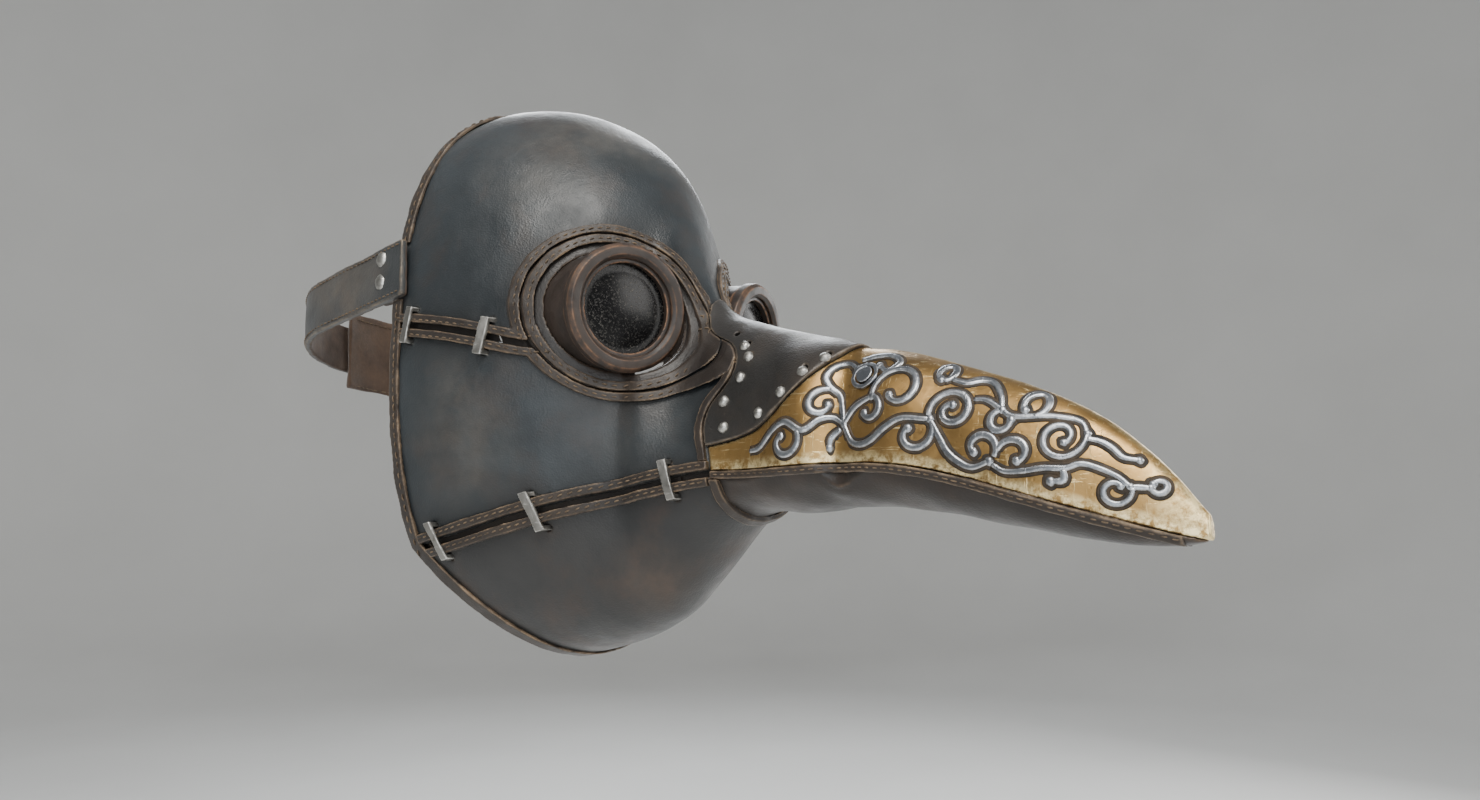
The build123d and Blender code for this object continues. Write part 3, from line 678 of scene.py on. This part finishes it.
finish_mesh(rows, "seam_stitches", thread_mat, painted=False)

# strap stitches along both edges, and round the pad
tilt, strap_z = math.radians(4), 29.7


def strap_point(t, high, half, back):
    """Point on the strap's plan line; t runs 0 to 1 from the right end to the left end."""
    straight, bend = 66.0, math.pi * 78
    d = t * (2 * straight + bend)
    if d < straight:
        x, y = -half, -6 + d
    elif d > straight + bend:
        x, y = half, 60 - (d - straight - bend)
    else:
        a = math.pi - (d - straight) / 78
        x, y = half * math.cos(a), 60 + back * math.sin(a)
    back = y * math.cos(tilt) + high * math.sin(tilt)
    return Vector((x, back, strap_z - y * math.sin(tilt) + high * math.cos(tilt))) * MM


strap_tree = tree_of("head_strap", "strap_back_pad")
rows = bmesh.new()
for high in (-10.2, 10.2):
    for k in range(118):
        t = (k + 0.5) / 118
        p, q = strap_point(t, high, 90, 84), strap_point(t + 0.002, high, 90, 84)
        inward = Vector((-p.x, -(p.y - 0.06) if p.y > 0.06 else 0, 0)).normalized()
        found = strap_tree.ray_cast(p, inward)
        if found[0] is not None:
            stitch(rows, found[0], q - p, found[1], 2.4 * MM, 0.33 * MM)
for high in (-18.6, 18.6):
    for k in range(22):
        a = math.radians(90 + (k - 10.5) * 2.45)
        drop = 50 * math.sin(a) * math.sin(tilt)
        inner = Vector((50 * math.cos(a), 60 + 50 * math.sin(a), 23 - drop + high)) * MM
        way = Vector((math.cos(a), math.sin(a), 0))
        found = strap_tree.ray_cast(inner, way)
        if found[0] is not None:
            stitch(rows, found[0], Vector((-math.sin(a), math.cos(a), 0)), found[1], 2.6 * MM, 0.33 * MM)
finish_mesh(rows, "strap_stitches", thread_mat, painted=False)


# rivets
def dome(mesh, middle, normal, radius, height, seed=0):
    """A domed rivet head with a soft skirt, slightly uneven."""
    wide = normal.orthogonal().normalized()
    other = normal.cross(wide)
    profile = [(1.0, -0.4), (1.03, 0.08), (0.96, 0.32), (0.82, 0.60), (0.62, 0.82), (0.36, 0.95), (0.12, 1.0)]
    rings = []
    for r, h in profile:
        loop = []
        for i in range(18):
            a = i * math.pi / 9
            uneven = 1 + 0.05 * math.sin(2 * a + seed) + 0.04 * math.sin(5 * a + 2.3 * seed)
            p = (wide * math.cos(a) + other * math.sin(a)) * radius * r * uneven
            loop.append(mesh.verts.new(middle + p + normal * height * h))
        rings.append(loop)
    for a, b in zip(rings, rings[1:]):
        for i in range(18):
            mesh.faces.new((a[i], a[(i + 1) % 18], b[(i + 1) % 18], b[i]))
    mesh.faces.new(rings[-1])
    mesh.faces.new(rings[0][::-1])


nose_spots = [(-118, -2), (-127, -6), (-136, -10), (-139.5, -15), (-138, -23), (-132.5, -32), (-133.5, -42),
              (-172.5, -19), (-166, -24), (-158.5, -31), (-149, -38)]
nose_tree = tree_of("nose_plate_rivets")
heads = bmesh.new()
for i, (y, z) in enumerate(nose_spots):
    for side in (-1, 1):
        hit = side_hit(nose_tree, y, z, side)
        if hit:
            dome(heads, hit[0] - hit[1] * 1.2 * MM, hit[1], 2.1 * MM, 1.55 * MM, seed=i + side)
finish_mesh(heads, "nose_rivet_heads", aged, "nose_plate_rivets")

heads = bmesh.new()
head_r = 3.4 * MM
low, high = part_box("strap_rivets")
rivet_y = (low.y + high.y) / 2
for side in (-1, 1):
    for i, rivet_z in enumerate((high.z - head_r, low.z + head_r)):
        outer, inner = side * (high.x - 1.5 * MM), side * (high.x - 9.7 * MM)
        dome(heads, Vector((outer, rivet_y, rivet_z)), Vector((side, 0, 0)), head_r, 1.7 * MM, seed=i)
        dome(heads, Vector((inner, rivet_y, rivet_z)), Vector((-side, 0, 0)), 3.0 * MM, 1.2 * MM, seed=i + 1)
finish_mesh(heads, "strap_rivet_heads", aged, "strap_rivets")

# ---- scrolls ------------------------------------------------------------
stems = (
    ((145, -51.5), (150, -50.5), (156, -45), (162, -42.5), (169, -46), (174, -42.5), (178, -42), (182, -44.5)),
    ((182, -44.5), (181, -39.5), (179.5, -34.5), (176, -31), (174, -27), (176, -23.5), (180, -22.5), (184, -25)),
    ((182, -44.5), (186, -39), (193, -36)),
    ((182, -44.5), (185.5, -50.5), (189.5, -52), (194, -51), (199.5, -47), (205, -44.5), (214, -45.5)),
    ((214, -45.5), (217.5, -52), (220, -56.5), (224, -60), (228, -61.5), (233, -60)),
    ((219, -32.5), (223.5, -34), (228, -33.5), (232, -35), (235, -39.5), (236, -44)),
    ((227, -40), (231, -40.5), (236, -44), (240, -46.5), (250, -47), (258, -49), (260.5, -53)),
    ((260.5, -54.5), (264, -55.5), (267, -57.5), (270, -60.5), (274, -61.5)),
    ((234, -61), (238, -63.3), (244, -63.3), (249, -62.7), (255, -63), (260, -62), (268, -65.5), (272, -69)),
    ((254.5, -63.5), (254.5, -66.5), (251, -66.8)),
    ((181, -46), (178, -49), (177.5, -52.5)),
    ((272, -69), (277, -69.5)),
    ((185, -22), (190.5, -21), (196, -21.5), (200, -24.5), (197, -27.5), (193, -25)),
)
curls = (
    (162, -49.5, 6.2, 2.5, 35, -270), (174.3, -37, 5.6, 2.0, 68, 280), (202, -34.5, 9.2, 3.0, 185, -330),
    (192.5, -40.5, 4.6, 2.2, 80, -230), (209, -49.8, 6.3, 2.6, 30, -255), (220.5, -43, 7.2, 1.8, 190, -460),
    (216.5, -30, 2.6, 2.4, 270, 330), (253.5, -53.8, 7.0, 1.9, 10, -430), (236, -47.5, 3.4, 3.0, 90, 270),
    (245.5, -43, 3.8, 3.2, 270, 300), (230, -55.5, 5.5, 2.3, -35, 250), (240.5, -58, 5.2, 2.4, 165, -235),
    (268, -70, 4.6, 1.9, 10, -330), (279, -69.3, 1.9, 1.7, 180, 330),
)
brass_tree = tree_of("beak_brass_plate")


def curl_line(q, z, r0, r1, start, sweep):
    count = max(int(abs(sweep) / 9), 12)
    line = []
    for k in range(count + 1):
        f = k / count
        r, a = r0 + (r1 - r0) * f, math.radians(start + sweep * f)
        line.append(Vector((q + r * math.cos(a), z + r * math.sin(a))))
    return line


def ribbon(mesh, line, side, widths, height, lift):
    """A rounded ribbon laid on the brass along a (forward, z) line."""
    rows, last = [], None
    count = len(line)
    for i, p in enumerate(line):
        hit = side_hit(brass_tree, -p.x, p.y, side)
        if hit is None:
            last = None
            continue
        a, b = line[max(i - 1, 0)], line[min(i + 1, count - 1)]
        ha, hb = side_hit(brass_tree, -a.x, a.y, side), side_hit(brass_tree, -b.x, b.y, side)
        if ha is None or hb is None:
            continue
        along = (hb[0] - ha[0])
        if along.length < 1e-7:
            continue
        along.normalize()
        normal = hit[1]
        wide = along.cross(normal).normalized()
        half = widths(i / (count - 1)) / 2 * MM
        row = []
        for k in range(7):
            t = k / 3 - 1
            rise = (1 - 0.85 * t ** 4) * height + lift
            row.append(mesh.verts.new(hit[0] + wide * half * t + normal * rise * MM))
        row.append(mesh.verts.new(hit[0] + wide * half - normal * 0.4 * MM))
        row.append(mesh.verts.new(hit[0] - wide * half - normal * 0.4 * MM))
        rows.append(row)
    for a, b in zip(rows, rows[1:]):
        if (a[3].co - b[3].co).length > 6 * MM:
            continue
        for k in range(9):
            mesh.faces.new((a[k], a[(k + 1) % 9], b[(k + 1) % 9], b[k]))
    if len(rows) > 1:
        mesh.faces.new(rows[0][::-1])
        mesh.faces.new(rows[-1])


def scroll_lines():
    made = []
    for stem in stems:
        thick = 2.15 if stem[-1][0] < 255 else 1.8
        made.append((smooth_line([Vector(p) for p in stem], 6), thick, False))
    for curl in curls:
        made.append((curl_line(*curl), 2.15 if curl[0] < 250 else 1.75, True))
    return made


for side, sign in (("right", -1), ("left", 1)):
    bright, dark = bmesh.new(), bmesh.new()
    for line, thick, is_curl in scroll_lines():
        def width(t, thick=thick, is_curl=is_curl):
            swell = 0.82 + 0.30 * math.sin(math.pi * min(t * 1.1, 1))
            return thick * (swell + (0.35 * max(t - 0.86, 0) / 0.14 if is_curl else 0))
        ribbon(bright, line, sign, width, 0.5, 0.22)
        # dark outline 2 mm wider under each stroke: painted shade of the groove
        ribbon(dark, line, sign, lambda t, w=width: w(t) + 2.0, 0.16, 0.05)
        end = line[-1]
        hit = side_hit(brass_tree, -end.x, end.y, sign)
        if hit:
            dome(bright, hit[0], hit[1], thick * 0.68 * MM, 0.85 * MM, seed=thick)
            dome(dark, hit[0], hit[1], (thick * 0.72 + 1.0) * MM, 0.2 * MM, seed=thick)
    finish_mesh(bright, f"scroll_{side}", silver, f"scroll_inlay_{side}")
    finish_mesh(dark, f"scroll_groove_shade_{side}", groove_shade_mat, painted=False)

# ---- stage --------------------------------------------------------------


def stage_material():
    s = Shader("studio_grey")
    tone = s.mix(s.ramp(s.noise(2.5, 4), 0.3, 0.7), (0.62, 0.62, 0.61), (0.66, 0.66, 0.65))
    return s.finish(tone, s.ramp(s.noise(6, 4), 0.3, 0.7, 0.75, 0.85))


floor_z = -0.46
sweep = bmesh.new()
ring_rows = []
sweep_shape = ((0.001, 0), (0.6, 0), (1.6, 0), (2.2, 0.02), (2.6, 0.12), (2.9, 0.35), (3.05, 0.75), (3.1, 1.4), (3.1, 3.6))
for radius, height in sweep_shape:
    row = []
    for i in range(72):
        a = i * math.pi / 36
        row.append(sweep.verts.new((radius * math.cos(a), radius * math.sin(a), floor_z + height)))
    ring_rows.append(row)
for a, b in zip(ring_rows, ring_rows[1:]):
    for i in range(72):
        sweep.faces.new((a[i], a[(i + 1) % 72], b[(i + 1) % 72], b[i]))
bmesh.ops.recalc_face_normals(sweep, faces=sweep.faces)
data = bpy.data.meshes.new("studio")
sweep.to_mesh(data)
sweep.free()
data.materials.append(stage_material())
data.shade_smooth()
studio = link("studio", data)


def area(name, place, target, size, power, color=(1, 1, 1)):
    lamp = bpy.data.lights.new(name, "AREA")
    lamp.shape, lamp.size, lamp.size_y = "RECTANGLE", size[0], size[1]
    lamp.energy, lamp.color = power, color
    obj = bpy.data.objects.new(name, lamp)
    obj.location = place
    obj.rotation_euler = (Vector(target) - Vector(place)).to_track_quat("-Z", "Y").to_euler()
    bpy.context.scene.collection.objects.link(obj)


middle = (0, -0.1, 0)
area("key", (-0.9, -0.75, 1.15), middle, (0.9, 0.9), 26, (1.0, 0.97, 0.92))
area("fill", (-1.3, -0.9, -0.05), middle, (1.2, 1.0), 9, (0.9, 0.95, 1.0))
area("front", (0.5, -1.6, 0.5), middle, (0.9, 0.9), 12, (1.0, 0.98, 0.95))
area("rim", (0.9, 0.9, 1.0), middle, (0.8, 0.8), 24, (0.93, 0.97, 1.0))
area("side", (1.5, -0.3, 0.35), middle, (0.9, 0.9), 10)
world = bpy.data.worlds.new("studio_world")
bpy.context.scene.world = world
world.use_nodes = True
world.node_tree.nodes["Background"].inputs[0].default_value = (0.86, 0.88, 0.9, 1)
world.node_tree.nodes["Background"].inputs[1].default_value = 0.42

# ---- camera -------------------------------------------------------------
azimuth, elevation = math.radians(-49.04), math.radians(-9.0)
level = Vector((math.sin(azimuth), -math.cos(azimuth), 0)) * math.cos(elevation)
back = level + Vector((0, 0, math.sin(elevation)))
lens = bpy.data.cameras.new("camera")
lens.lens, lens.sensor_width = 23.5, 36.0
lens.clip_start, lens.clip_end = 0.01, 30
camera = bpy.data.objects.new("camera", lens)
camera.location = (-0.2841, -0.3671, -0.0873)
camera.rotation_euler = (-back).to_track_quat("-Z", "Y").to_euler()
bpy.context.scene.collection.objects.link(camera)
bpy.context.scene.camera = camera
